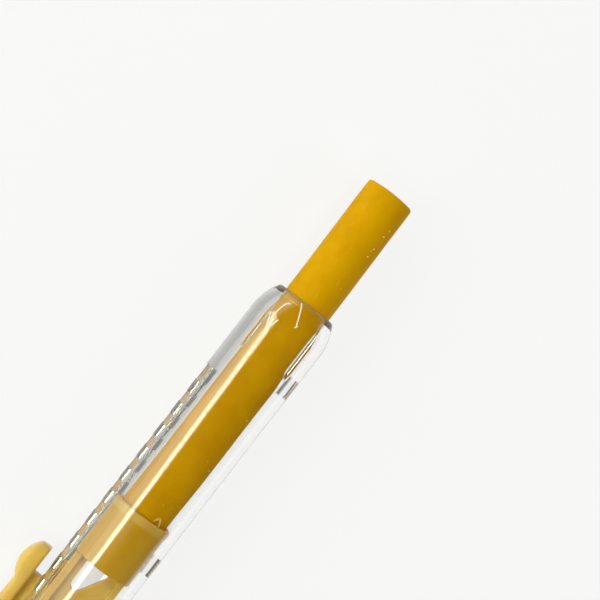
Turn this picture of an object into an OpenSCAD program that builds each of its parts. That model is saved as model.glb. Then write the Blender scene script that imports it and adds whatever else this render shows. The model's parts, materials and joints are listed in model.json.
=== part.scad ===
// Retractable eraser stick: a round eraser refill in a clear barrel,
// pushed out by a slide with a thumb clip that clicks along a notched slot.
// All sizes are in millimetres. The axis of the stick lies along +X, with
// the tail end face at X = 0 and the eraser's tip at the far end.
// The stick is turned about its axis so that it lies on a table, on the
// barrel and on the thumb lobe, as it comes to rest when it is put down.

/* [Eraser] */
// Diameter of the round refill
eraser_d = 6.8; // [5:0.1:9]
// Length of the refill
eraser_len = 59.1; // [52:0.1:80]
// Rounding of the edge at the worn tip
tip_round = 0.3; // [0.2:0.1:1.5]
// Rounding of the edge at the cut rear end
heel_round = 0.2; // [0.1:0.05:0.5]

/* [Barrel] */
// Length from the tail end face to the mouth
barrel_len = 104; // [98:1:130]
// Thickness of the tube wall
barrel_wall = 1.15; // [0.9:0.05:1.8]
// Distance from the mouth to the rear ends of the ribs that guide the refill
rib_len = 9.4; // [7:0.1:10]
// Width of a guide rib
rib_w = 0.7; // [0.5:0.05:1]
// Length of the rounded nose
nose_len = 4.2; // [3:0.1:6]
// Wall at the mouth, before its edge is rounded
rim_wall = 0.6; // [0.5:0.05:0.9]
// Rounding of the outer edge of the mouth
rim_round = 0.6; // [0.3:0.05:0.8]

/* [Click rack] */
// Distance from the mouth to the front end of the slot
slot_front = 13.7; // [12:0.1:16]
// Width of the slot between the teeth
slot_w = 2; // [1.6:0.1:2.6]
// How far each notch is cut into the side of the slot
notch_depth = 0.45; // [0.3:0.05:0.7]
// Length of a notch along the slot
notch_len = 1.7; // [1.4:0.1:2]
// Length of the first notch, which runs out to the slot's end
first_notch_len = 2.4; // [2:0.1:3]
// Distance from one click to the next
click_pitch = 3.5; // [3:0.1:4]
// Notch that the slide stands in, counted from the front
rest_click = 9; // [6:1:12]

/* [Side windows] */
// Distance from the mouth to the first window
window_front = 8.6; // [8:0.1:12]
// Length of a window along the barrel
window_len = 2.7; // [2.4:0.1:3.6]
// Width of a window round the barrel
window_w = 1.2; // [0.9:0.1:1.8]
// Spacing wanted between windows
window_spacing = 28.3; // [20:0.1:40]

/* [Slide inside the barrel] */
// Depth of the sleeve that holds the refill
sleeve_depth = 8; // [6:0.1:10]
// Wall of the sleeve
sleeve_wall = 0.645; // [0.5:0.005:0.8]
// Floor of the sleeve behind the refill
sleeve_floor = 0.6; // [0.5:0.05:0.9]
// How far the sleeve's front lip stands out
lip_height = 0.1; // [0.05:0.01:0.2]
// Length of the front lip
lip_len = 0.9; // [0.6:0.1:1.5]
// Length of the slide from the sleeve's floor to its rear end
tail_len = 17.6; // [16:0.1:20]
// Width of the rail under the slot
rail_w = 3.3; // [3:0.1:5]
// Thickness of the rail
rail_t = 0.9; // [0.6:0.05:1.2]
// Thickness of the upright web
web_t = 1.8; // [1.4:0.1:2.4]
// Width of the runner along the bottom of the web
runner_w = 3; // [2.4:0.1:3.6]
// Height of the runner
runner_t = 0.8; // [0.6:0.05:1.2]
// Length of the see-through window in the web
web_window_len = 4.6; // [4:0.1:5]
// Strip of web left between that window and the rail
web_strip = 0.8; // [0.4:0.05:1]
// Radius of the rear end of that window
web_window_r = 0.75; // [0.5:0.05:0.9]
// Drop of that window's front corner below the axis
web_window_drop = 1.85; // [1:0.1:2.1]
// Thickness of the guide disc at the slide's rear end
disc_t = 1.6; // [1.2:0.1:2.4]

/* [Thumb clip] */
// Distance from the sleeve's floor to the neck that passes through the slot
neck_back = 6.3; // [5.2:0.1:7]
// Length of the neck along the slot
neck_len = 8; // [6:0.1:9]
// Gap between the barrel and the underside of the clip
clip_gap = 1.05; // [0.8:0.05:2]
// Thickness of the clip's bar
bar_t = 1.75; // [1.2:0.05:2]
// Width of the clip's bar
bar_w = 4; // [3.4:0.1:5]
// Length of the bar behind the front of the neck
bar_len = 24; // [20:0.5:28]
// Rounding of the bar's long edges
bar_round = 0.7; // [0.4:0.05:0.8]
// Height of the thumb lobe from its underside
lobe_h = 2.7; // [2.2:0.05:3]
// Width of the thumb lobe
lobe_w = 4.6; // [4:0.1:6]
// Reach of the thumb lobe ahead of the neck
lobe_reach = 3.65; // [3:0.05:5]
// Radius of the lobe's dome, seen from the side
lobe_dome_r = 3.75; // [3.4:0.05:5]
// Rounding of the lobe's long edges
lobe_round = 1.1; // [0.8:0.05:1.2]
// Height left free under the grip pad at the end of the bar
pad_gap = 0.35; // [0.2:0.05:0.6]
// Radius of the grip pad, seen from the side
pad_r = 2.6; // [2.4:0.1:3.2]

/* [Click tongue] */
// Reach of the tongue ahead of the neck
tongue_reach = 3.5; // [3.2:0.1:4]
// Width of each of its two prongs
prong_w = 0.6; // [0.4:0.05:0.7]
// Length of the solid root that joins the prongs
tongue_root = 0.2; // [0.15:0.05:0.2]

/* [Tail plug] */
// Thickness of the visible flange
flange_t = 3; // [2:0.1:4]
// Rounding of the flange's outer edge
flange_round = 1.2; // [0.6:0.1:1.6]
// Length of the spigot inside the barrel
spigot_len = 8; // [7.8:0.1:12]
// Wall of the hollow spigot
spigot_wall = 1.3; // [1:0.05:1.8]
// Distance from the barrel's rear edge to the window that the lug snaps into
snap_back = 4.5; // [3:0.1:4.6]
// Floor left at the bottom of the spigot's hollow, ahead of the flange
plug_floor = 0.6; // [0.4:0.1:1.5]

/* [Clearances] */
// Radial gap between the refill and the sleeve that grips it
grip_gap = 0.03; // [0.01:0.01:0.06]
// Radial gap between the refill and the mouth and guide ribs
guide_gap = 0.15; // [0.1:0.01:0.25]
// Radial gap between the sleeve's lip and the bore
slide_gap = 0.125; // [0.08:0.005:0.2]
// Gap on each side of the neck in the slot
slot_gap = 0.1; // [0.06:0.01:0.15]
// Gap round the click bumps in their notch
bump_gap = 0.1; // [0.05:0.01:0.15]
// Radial gap between the bore and the rail's corners
rail_gap = 0.25; // [0.15:0.01:0.4]
// Radial gap between the bore and the runner's corners
runner_gap = 0.55; // [0.3:0.05:0.8]
// Radial gap between the bore and the plug's spigot
plug_gap = 0.05; // [0.03:0.01:0.1]

/* [Hidden] */
$fn = 96;
past = 1; // how far a cutting shape runs past the face that it opens

// Radii, each worked out from the refill outwards
eraser_r = eraser_d / 2;
sleeve_bore_r = eraser_r + grip_gap;
sleeve_r = sleeve_bore_r + sleeve_wall;
lip_r = sleeve_r + lip_height;
bore_r = lip_r + slide_gap;
barrel_r = bore_r + barrel_wall;
mouth_r = eraser_r + guide_gap;
rim_r = mouth_r + rim_wall;

// Places along the axis. Distances behind the mouth become X by mouth(d).
function mouth(d) = barrel_len - d;
function notch_back(k) = slot_front + first_notch_len + k * click_pitch;
neck_front = notch_back(rest_click) + bump_gap * 2;
floor_at = neck_front - neck_back;
sleeve_front = floor_at - sleeve_depth;
web_front = floor_at + sleeve_floor;
slide_back = floor_at + tail_len;
eraser_tip = mouth(floor_at) + eraser_len;
spigot_front = flange_t + spigot_len;

// The notches stop one pitch short of the tail plug
notch_count = floor((mouth(spigot_front) - click_pitch / 2 - notch_back(0)) / click_pitch) + 1;

// Windows are spaced evenly from the first one to the one the lug uses
window_last = mouth(flange_t + snap_back + window_len);
window_gaps = max(1, round((window_last - window_front) / window_spacing));
window_step = (window_last - window_front) / window_gaps;

// Heights over the axis on the slide, in the upright position
rail_top = sqrt(pow(bore_r - rail_gap, 2) - pow(rail_w / 2, 2));
rail_bottom = rail_top - rail_t;
runner_bottom = -sqrt(pow(bore_r - runner_gap, 2) - pow(runner_w / 2, 2));
clip_under = barrel_r + clip_gap;
bar_top = clip_under + bar_t;
lobe_top = clip_under + lobe_h;

// The long arc of the nose, and its centre as [radius, place along X]
nose_drop = barrel_r - rim_r;
nose_r = (pow(nose_len, 2) + pow(nose_drop, 2)) / (2 * nose_drop);
nose_axis = [barrel_r - nose_r, mouth(nose_len)];

// The angle from upright at which barrel and lobe both touch the table:
// the rounding of the lobe's edge is then as low as the barrel's side
lobe_edge_y = lobe_w / 2 - lobe_round;
lobe_edge_z = lobe_top - lobe_round;
lying_angle = 180 - atan2(lobe_edge_y, lobe_edge_z)
    - acos((barrel_r - lobe_round) / norm([lobe_edge_y, lobe_edge_z]));

// Turns a flat profile, drawn as [radius, place along X], about the axis
module turned() {
    rotate([0, 90, 0]) rotate_extrude() children();
}

// Lifts a flat outline, drawn as [place along X, height], to a slab
// of the given width with the slot's middle plane as its centre
module slab(width) {
    translate([0, width / 2, 0]) rotate([90, 0, 0]) linear_extrude(width) children();
}

// Lays an upright shape down as the stick comes to rest on a table
module lying() {
    rotate([-lying_angle, 0, 0]) children();
}

// What a fillet of radius r takes off a convex corner at the origin,
// where the solid lies on the negative side of both axes
module corner_waste(r) {
    difference() {
        translate([-r, -r]) square(r + past);
        translate([-r, -r]) circle(r);
    }
}

// Barrel

// Solid outline of the barrel: a straight tube, a nose that is one long arc
// and a small arc round the mouth that meets it without a corner
module barrel_outline() {
    rim_axis = [nose_axis.x + sqrt(pow(nose_r - rim_round, 2) - pow(nose_len - rim_round, 2)),
                barrel_len - rim_round];
    meet_y = nose_axis.y + nose_r * (rim_axis.y - nose_axis.y) / (nose_r - rim_round);
    translate([0, flange_t]) square([barrel_r, mouth(nose_len) - flange_t]);
    intersection() {
        translate([0, nose_axis.y - past]) square([barrel_r, meet_y - nose_axis.y + past]);
        translate(nose_axis) circle(nose_r);
    }
    translate([0, mouth(nose_len)]) square([rim_axis.x, nose_len]);
    translate(rim_axis) circle(rim_round);
}

// Bore for the slide, which keeps the wall even through the nose, and the mouth
module barrel_bore_outline() {
    translate([0, -past]) square([mouth_r, barrel_len + 2 * past]);
    translate([0, flange_t - past]) square([bore_r, mouth(nose_len) - flange_t + past]);
    intersection() {
        translate([0, mouth(nose_len) - past]) square([bore_r, nose_len + past]);
        translate(nose_axis) circle(nose_r - barrel_wall);
    }
}

// Ribs that guide the refill behind the mouth, with rounded rear ends
module guide_ribs() {
    height = bore_r - mouth_r;
    for (turn = [45:90:315]) rotate([turn, 0, 0]) slab(rib_w) difference() {
        translate([mouth(rib_len), mouth_r])
            square([rib_len - nose_len / 4, height + barrel_wall / 4]);
        translate([mouth(rib_len), mouth_r]) mirror([1, 1]) corner_waste(height);
    }
}

// Slot with square notches along both edges, open at the tail
module rack_cut() {
    notch_w = slot_w + 2 * notch_depth;
    translate([flange_t - past, -slot_w / 2, 0])
        cube([mouth(slot_front) - flange_t + past, slot_w, barrel_r + past]);
    for (k = [0:notch_count - 1]) {
        length = k == 0 ? first_notch_len : notch_len;
        translate([mouth(notch_back(k)), -notch_w / 2, 0])
            cube([length, notch_w, barrel_r + past]);
    }
}

// Row of small windows through the wall, opposite the slot
module window_cuts() {
    for (k = [0:window_gaps])
        translate([mouth(window_front + k * window_step + window_len), -window_w / 2, -barrel_r - past])
            cube([window_len, window_w, barrel_r + past]);
}

module barrel() {
    color("lightcyan", 0.4) lying() difference() {
        union() {
            turned() difference() {
                barrel_outline();
                barrel_bore_outline();
            }
            guide_ribs();
        }
        rack_cut();
        window_cuts();
    }
}

// Tail plug

module flange() {
    turned() difference() {
        square([barrel_r, flange_t]);
        translate([barrel_r, 0]) mirror([0, 1]) corner_waste(flange_round);
    }
}

// Hollow spigot, open towards the slide, with a chamfer to lead it in
module spigot() {
    outer_r = bore_r - plug_gap;
    lead = spigot_wall / 3;
    turned() difference() {
        polygon([[0, flange_t - past], [outer_r, flange_t - past], [outer_r, spigot_front - lead],
                 [outer_r - lead, spigot_front], [0, spigot_front]]);
        translate([0, flange_t + plug_floor])
            square([outer_r - spigot_wall, spigot_len]);
    }
}

// Key that fills the open end of the slot, flush with the barrel
module slot_key() {
    key_w = slot_w - 2 * plug_gap;
    root = bore_r - plug_gap - spigot_wall / 2;
    intersection() {
        translate([flange_t - past, -key_w / 2, root]) cube([spigot_len + past, key_w, barrel_r]);
        turned() square([barrel_r, spigot_front]);
    }
}

// Snap lug in the last window, with a ramp that lets the plug push in
module snap_lug() {
    lug_front = flange_t + snap_back + window_len - plug_gap * 2;
    lug_back = flange_t + snap_back + plug_gap * 2;
    lug_low = -(barrel_r - barrel_wall / 4);
    root = -(bore_r - plug_gap - spigot_wall / 2);
    slab(window_w - 2 * plug_gap) polygon([
        [lug_back, root], [lug_back, lug_low], [(lug_back + lug_front) / 2, lug_low],
        [lug_front, -bore_r], [lug_front, root]]);
}

module tail_plug() {
    color("goldenrod") lying() {
        flange();
        spigot();
        slot_key();
        snap_lug();
    }
}

// Slide: sleeve, web, rail, neck and thumb clip in one moulding

module sleeve() {
    entry = sleeve_wall / 3;
    turned() difference() {
        union() {
            translate([0, mouth(web_front)]) square([sleeve_r, web_front - sleeve_front]);
            translate([0, mouth(sleeve_front + lip_len)]) square([lip_r, lip_len]);
            polygon([[0, mouth(sleeve_front + lip_len + lip_height * 3)],
                     [sleeve_r, mouth(sleeve_front + lip_len + lip_height * 3)],
                     [lip_r, mouth(sleeve_front + lip_len)], [0, mouth(sleeve_front + lip_len)]]);
        }
        translate([0, mouth(floor_at)]) square([sleeve_bore_r, sleeve_depth + past]);
        translate([0, mouth(sleeve_front)]) polygon([
            [0, -entry], [sleeve_bore_r, -entry], [sleeve_bore_r + entry, 0],
            [sleeve_bore_r + entry, past], [0, past]]);
        translate([lip_r, mouth(sleeve_front)]) corner_waste(entry);
    }
}

// Guide disc at the slide's rear end
module guide_disc() {
    edge = disc_t / 4;
    turned() difference() {
        translate([0, mouth(slide_back)]) square([sleeve_r, disc_t]);
        translate([sleeve_r, mouth(slide_back)]) mirror([0, 1]) corner_waste(edge);
        translate([sleeve_r, mouth(slide_back - disc_t)]) corner_waste(edge);
    }
}

// Window in the web: it opens at the sleeve and narrows to a round rear end,
// with its lower edge as the tangent from the front corner to that round end
module web_window_outline() {
    top = rail_bottom - web_strip;
    front = [mouth(web_front), -web_window_drop];
    round_end = [mouth(web_front + web_window_len - web_window_r), top - web_window_r];
    reach = norm(round_end - front);
    slope = atan2(round_end.y - front.y, front.x - round_end.x) - asin(web_window_r / reach);
    touch = round_end + web_window_r * [-sin(slope), -cos(slope)];
    translate(round_end) circle(web_window_r);
    polygon([front, touch, round_end, [round_end.x, top], [front.x, top]]);
}

// Upright web between the rail and the runner
module web() {
    length = slide_back - disc_t - web_front;
    slab(web_t) difference() {
        translate([mouth(slide_back - disc_t), runner_bottom])
            square([length, rail_bottom - runner_bottom]);
        web_window_outline();
    }
    translate([mouth(slide_back - disc_t), -rail_w / 2, rail_bottom]) cube([length, rail_w, rail_t]);
    translate([mouth(slide_back - disc_t), -runner_w / 2, runner_bottom])
        cube([length, runner_w, runner_t]);
}

// Neck that carries the clip through the slot
module neck() {
    neck_w = slot_w - 2 * slot_gap;
    translate([mouth(neck_front + neck_len), -neck_w / 2, rail_bottom])
        cube([neck_len, neck_w, clip_under + bar_t / 2 - rail_bottom]);
}

// Cross-section of a clip part, with both upper edges rounded, run along X
module clip_section(width, top, edge, from, length) {
    translate([from, 0, 0]) rotate([90, 0, 90]) linear_extrude(length) difference() {
        translate([-width / 2, 0]) square([width, top]);
        translate([width / 2, top]) corner_waste(edge);
        translate([-width / 2, top]) mirror([1, 0]) corner_waste(edge);
    }
}

// Plan of a clip part with a round end at both ends, run upwards
module clip_plan(width, from, length) {
    linear_extrude(lobe_top + past) {
        translate([from + width / 2, 0]) circle(width / 2);
        translate([from + width / 2, -width / 2]) square([length - width, width]);
        translate([from + length - width / 2, 0]) circle(width / 2);
    }
}

// Bar of the clip, with the pad at its rear end that grips a pocket's edge
module clip_bar() {
    back = mouth(neck_front + bar_len);
    length = bar_len + lobe_reach / 2;
    pad_low = barrel_r + pad_gap;
    intersection() {
        slab(bar_w) {
            translate([back, clip_under]) square([length, bar_t]);
            intersection() {
                translate([back + bar_w / 2 + pad_r / 2, pad_low + pad_r]) circle(pad_r);
                translate([back, pad_low]) square([bar_w / 2 + pad_r * 2, bar_top - pad_low]);
            }
        }
        clip_section(bar_w, bar_top, bar_round, back, length);
        clip_plan(bar_w, back, length + bar_w);
    }
}

// Thumb lobe: a dome from the side, with rounded long edges and a flat underside
module thumb_lobe() {
    front = mouth(neck_front - lobe_reach);
    dome_edge_h = lobe_top - lobe_dome_r;
    wall_h = lobe_h / 2;
    half = sqrt(pow(lobe_dome_r, 2) - pow(clip_under + wall_h - dome_edge_h, 2));
    length = 2 * half + lobe_round;
    toe = min(wall_h / 2, lobe_reach / 8);
    intersection() {
        slab(lobe_w) intersection() {
            translate([front - half, dome_edge_h]) circle(lobe_dome_r);
            difference() {
                translate([front - length, clip_under]) square([length, lobe_h]);
                translate([front, clip_under]) mirror([0, 1]) corner_waste(toe);
            }
        }
        clip_section(lobe_w, lobe_top, lobe_round, front - length, length);
        lobe_plan(front - length, length);
    }
}

// Plan of the lobe: well rounded corners at the front, square into the bar
module lobe_plan(from, length) {
    corner = lobe_w / 3;
    linear_extrude(lobe_top + past) difference() {
        translate([from, -lobe_w / 2]) square([length, lobe_w]);
        for (side = [0, 1]) mirror([0, side]) {
            translate([from + length, lobe_w / 2]) corner_waste(corner);
            translate([from, lobe_w / 2]) mirror([1, 0]) corner_waste(corner);
        }
    }
}

module slide() {
    color("gold") lying() {
        sleeve();
        web();
        guide_disc();
        neck();
        clip_bar();
        thumb_lobe();
    }
}

// Click tongue: two springy prongs ahead of the neck, each with a bump
// that stands in a notch and squeezes past the tooth to the next one

module prong(side) {
    outer = slot_w / 2 - slot_gap;
    bump_len = notch_len - 2 * bump_gap;
    bump_out = slot_w / 2 + notch_depth - bump_gap;
    bump_middle = mouth(notch_back(rest_click) - bump_gap - bump_len / 2);
    low = rail_top + bump_gap * 2;
    high = barrel_r - barrel_wall / 4;
    translate([0, 0, low]) linear_extrude(high - low) mirror([0, side]) {
        translate([mouth(neck_front), outer - prong_w])
            square([tongue_reach - prong_w / 2, prong_w]);
        translate([mouth(neck_front - tongue_reach + prong_w / 2), outer - prong_w / 2])
            circle(prong_w / 2);
        intersection() {
            translate([bump_middle, bump_out - bump_len / 2]) circle(bump_len / 2);
            translate([bump_middle - bump_len / 2, outer - prong_w / 2])
                square([bump_len, bump_out - outer + prong_w / 2]);
        }
    }
}

module click_tongue() {
    root_w = slot_w - 2 * slot_gap;
    low = rail_top + bump_gap * 2;
    high = barrel_r - barrel_wall / 4;
    color("orange") lying() {
        prong(0);
        prong(1);
        translate([mouth(neck_front), -root_w / 2, low]) cube([tongue_root, root_w, high - low]);
    }
}

// Eraser

module eraser() {
    color("darkorange") lying() turned() difference() {
        translate([0, mouth(floor_at)]) square([eraser_r, eraser_len]);
        translate([eraser_r, eraser_tip]) corner_waste(tip_round);
        translate([eraser_r, mouth(floor_at)]) mirror([0, 1]) corner_waste(heel_round);
    }
}

barrel();
tail_plug();
slide();
click_tongue();
eraser();
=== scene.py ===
"""Looks of a retractable eraser stick that lies on a pale table.

An amber refill stands out of a clear barrel. A slide of frosted amber plastic
holds it from behind and reaches out through a notched slot as a thumb clip.

Shapes are drawn upright, in millimetres: the axis of the stick is X, its tail
is at X = 0 and the slot faces +Z. Bench.piece() then lays them down as the
stick lies in the frame, in metres.
"""

import json
import logging
import math
import random
from dataclasses import dataclass, field
from enum import Enum
from typing import Any, Callable, Iterable, Sequence

import bmesh
import bpy
from mathutils import Matrix, Vector, noise


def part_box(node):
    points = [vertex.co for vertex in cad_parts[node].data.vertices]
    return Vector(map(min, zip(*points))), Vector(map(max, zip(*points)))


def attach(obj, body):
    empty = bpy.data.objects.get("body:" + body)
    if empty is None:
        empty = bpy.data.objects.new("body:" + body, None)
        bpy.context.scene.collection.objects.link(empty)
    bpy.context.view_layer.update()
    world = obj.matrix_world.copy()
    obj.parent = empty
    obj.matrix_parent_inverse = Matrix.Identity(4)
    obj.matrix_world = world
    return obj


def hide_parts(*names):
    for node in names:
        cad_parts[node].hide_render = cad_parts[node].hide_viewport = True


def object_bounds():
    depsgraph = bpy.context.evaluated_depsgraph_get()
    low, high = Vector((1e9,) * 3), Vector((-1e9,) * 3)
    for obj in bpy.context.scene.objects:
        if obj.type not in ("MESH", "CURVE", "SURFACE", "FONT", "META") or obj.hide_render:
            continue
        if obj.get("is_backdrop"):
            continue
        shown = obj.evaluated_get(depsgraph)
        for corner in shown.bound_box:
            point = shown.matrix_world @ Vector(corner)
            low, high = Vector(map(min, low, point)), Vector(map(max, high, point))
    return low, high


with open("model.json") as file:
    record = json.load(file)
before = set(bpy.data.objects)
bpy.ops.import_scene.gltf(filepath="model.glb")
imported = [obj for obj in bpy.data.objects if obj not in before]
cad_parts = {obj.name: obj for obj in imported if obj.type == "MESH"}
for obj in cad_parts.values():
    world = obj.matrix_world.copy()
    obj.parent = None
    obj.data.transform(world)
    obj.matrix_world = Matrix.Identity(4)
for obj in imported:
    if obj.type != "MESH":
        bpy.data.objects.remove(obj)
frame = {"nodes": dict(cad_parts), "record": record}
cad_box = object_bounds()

MM = 0.001
PER_METRE = 1000.0
LOG = logging.getLogger("eraser_stick")

Number = float | int
Colour = tuple[float, float, float]
Point = tuple[float, float]
Form = bmesh.types.BMesh
Thing = bpy.types.Object
Finish = bpy.types.Material


class Body(Enum):
    """The bodies of the frame that pieces ride on."""

    BARREL = "barrel"
    SLIDE = "slide"
    REFILL = "refill"


class Slot(Enum):
    """The record's material slots."""

    CLEAR = "clear_barrel"
    PLASTIC = "slide_plastic"
    ERASER = "eraser_rubber"


@dataclass(frozen=True)
class StickSizes:
    """Sizes that several pieces share, in millimetres, measured on the frame."""

    mouth: float
    barrel_r: float
    eraser_r: float
    eraser_heel: float
    eraser_tip: float
    flange: float
    lying_deg: float
    bore_r: float = 4.3
    sleeve_r: float = 4.075
    clip_under: float = 6.5

    @classmethod
    def from_frame(cls) -> "StickSizes":
        """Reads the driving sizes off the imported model.

        Returns:
            The shared sizes in millimetres.
        """
        barrel_low, barrel_high = (corner * PER_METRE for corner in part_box("barrel"))
        eraser_low, eraser_high = (corner * PER_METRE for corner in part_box("eraser"))
        mounts = {mount["name"]: mount for mount in frame["record"]["mounts"]}
        clip = mounts["pocket_clip"]["pos_m"]
        return cls(
            mouth=barrel_high.x,
            barrel_r=(barrel_high.z - barrel_low.z) / 2,
            eraser_r=(eraser_high.z - eraser_low.z) / 2,
            eraser_heel=eraser_low.x,
            eraser_tip=eraser_high.x,
            flange=barrel_low.x,
            lying_deg=math.degrees(math.atan2(clip[1], clip[2])),
        )

    def behind_mouth(self, distance: float) -> float:
        """X of a place that lies this far behind the mouth."""
        return self.mouth - distance


class Signal:
    """A shader socket that carries a number, with Python's arithmetic."""

    def __init__(self, tree: "Shader", socket: bpy.types.NodeSocket) -> None:
        """Wraps one socket of a shader's tree."""
        self.tree = tree
        self.socket = socket

    def _math(self, operation: str, *values: Any) -> "Signal":
        """Adds a Math node that works on these signals and numbers."""
        return self.tree.node("Math", dict(enumerate(values)), {"operation": operation})

    def __add__(self, other: Any) -> "Signal":
        """self + other."""
        return self._math("ADD", self, other)

    def __radd__(self, other: Number) -> "Signal":
        """other + self."""
        return self._math("ADD", other, self)

    def __sub__(self, other: Any) -> "Signal":
        """self - other."""
        return self._math("SUBTRACT", self, other)

    def __rsub__(self, other: Number) -> "Signal":
        """other - self."""
        return self._math("SUBTRACT", other, self)

    def __mul__(self, other: Any) -> "Signal":
        """self * other."""
        return self._math("MULTIPLY", self, other)

    def __rmul__(self, other: Number) -> "Signal":
        """other * self."""
        return self._math("MULTIPLY", other, self)

    def __mod__(self, other: Any) -> "Signal":
        """What is left of self when it is divided by other, with the sign of self."""
        return self._math("MODULO", self, other)

    def __rmod__(self, other: Number) -> "Signal":
        """What is left of other when it is divided by self, with the sign of other."""
        return self._math("MODULO", other, self)

    def __or__(self, other: Any) -> "Signal":
        """The larger of the two, as a union of masks."""
        return self._math("MAXIMUM", self, other)

    def __ror__(self, other: Number) -> "Signal":
        """The larger of the two, as a union of masks."""
        return self._math("MAXIMUM", other, self)

    def __abs__(self) -> "Signal":
        """Its size without its sign."""
        return self._math("ABSOLUTE", self)


class Shader:
    """The node tree of one material or of the world."""

    def __init__(self, tree: bpy.types.NodeTree) -> None:
        """Empties the tree, so that only what is asked for is in it."""
        self.tree = tree
        tree.nodes.clear()

    def node(self, kind: str, sockets: dict[str | int, Any] | None = None,
             settings: dict[str, Any] | None = None, output: str | int = 0) -> Signal:
        """Adds a node.

        Args:
            kind: The node's type, without the ShaderNode that starts them all.
            sockets: Values or links of its inputs, by name or number.
            settings: Properties of the node, which are set first.
            output: Which output is handed back, by name or number.

        Returns:
            The chosen output, or the first input of a node that ends a tree.
        """
        node = self.tree.nodes.new(f"ShaderNode{kind}")
        for name, value in (settings or {}).items():
            setattr(node, name, value)
        for name, value in (sockets or {}).items():
            if isinstance(value, Signal):
                self.tree.links.new(value.socket, node.inputs[name])
            else:
                node.inputs[name].default_value = value
        return Signal(self, node.outputs[output] if node.outputs else node.inputs[0])

    def place(self, lying_deg: float = 0.0, stretch: Colour = (1, 1, 1)) -> Signal:
        """Object coordinates in millimetres, in the stick's upright position.

        Args:
            lying_deg: Turn of the stick, taken out again before the stretch.
            stretch: How much finer the pattern is along each upright axis.

        Returns:
            The coordinates as a vector signal.
        """
        upright = self.node("Mapping", {
            "Vector": self.node("TexCoord", output="Object"),
            "Rotation": (math.radians(lying_deg), 0, 0), "Scale": (PER_METRE,) * 3})
        return self.node("Mapping", {"Vector": upright, "Scale": stretch})

    def part(self, vector: Signal, axis: str) -> Signal:
        """A vector's part along X, Y or Z."""
        return self.node("SeparateXYZ", {"Vector": vector}, output=axis)

    def noise(self, vector: Signal, scale: float, detail: float = 2.0, rough: float = 0.5) -> Signal:
        """Noise from 0 to 1 with this many waves per millimetre."""
        return self.node("TexNoise", {
            "Vector": vector, "Scale": scale, "Detail": detail, "Roughness": rough})

    def band(self, value: Signal, low: float, high: float) -> Signal:
        """Maps low..high of a signal smoothly to 0..1."""
        return self.node("MapRange", {"Value": value, "From Min": low, "From Max": high},
                         {"interpolation_type": "SMOOTHSTEP"})

    def within(self, value: Signal, low: float, high: float, soft: float) -> Signal:
        """1 where a signal lies between low and high, fading to 0 towards both."""
        return self.band(value, low, low + soft) * (1 - self.band(value, high - soft, high))

    def blend(self, share: Signal, first: Any, second: Any) -> Signal:
        """Mixes two colours, the second one by this share."""
        return self.node("Mix", {0: share, 6: rgba(first), 7: rgba(second)}, {"data_type": "RGBA"}, 2)

    def cover(self, share: Signal, under: Signal, over: Signal) -> Signal:
        """Mixes two surfaces, the second one by this share."""
        return self.node("MixShader", {0: share, 1: under, 2: over})

    def bump(self, height: Signal, depth_mm: float, strength: float = 1.0) -> Signal:
        """Bump normal for a height from 0 to 1 that stands for this depth."""
        return self.node("Bump", {"Height": height, "Distance": depth_mm * MM, "Strength": strength})

    def line(self, spot: Signal, streak: "ScratchGlint") -> Signal:
        """A mask of one straight streak; some are scratches, some painted highlight.

        Args:
            spot: Upright coordinates in millimetres.
            streak: Where the streak runs.

        Returns:
            1 on its middle line, fading to 0 at its width.
        """
        reach = streak.end - streak.start
        off = self.node("VectorMath", {0: spot, 1: streak.start}, {"operation": "SUBTRACT"})
        along = self.node("VectorMath", {0: off, 1: reach}, {"operation": "DOT_PRODUCT"}, "Value")
        share = self.node("Clamp", {"Value": along * (1 / reach.length_squared)})
        nearest = self.node("VectorMath", {0: reach, "Scale": share}, {"operation": "SCALE"})
        gap = self.node("VectorMath", {0: off, 1: nearest}, {"operation": "DISTANCE"}, "Value")
        return 1 - self.band(gap, streak.width * 0.3, streak.width)

    def surface(self, shader: Signal) -> None:
        """Ends a material's tree in this surface."""
        self.node("OutputMaterial", {"Surface": shader})


def rgba(colour: Any) -> Any:
    """A colour with its alpha, or a signal as it is."""
    return colour if isinstance(colour, Signal) else (*colour, 1.0)


def new_material(name: str) -> tuple[Finish, Shader]:
    """Makes an empty node material.

    Args:
        name: The material's name.

    Returns:
        The material and its shader tree.
    """
    material = bpy.data.materials.new(name)
    material.use_nodes = True
    return material, Shader(material.node_tree)


@dataclass(frozen=True)
class ScratchGlint:
    """A pale streak between two places in the upright position; some are scratches, some painted highlight.
    """

    start: Vector
    end: Vector
    width: float


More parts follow.
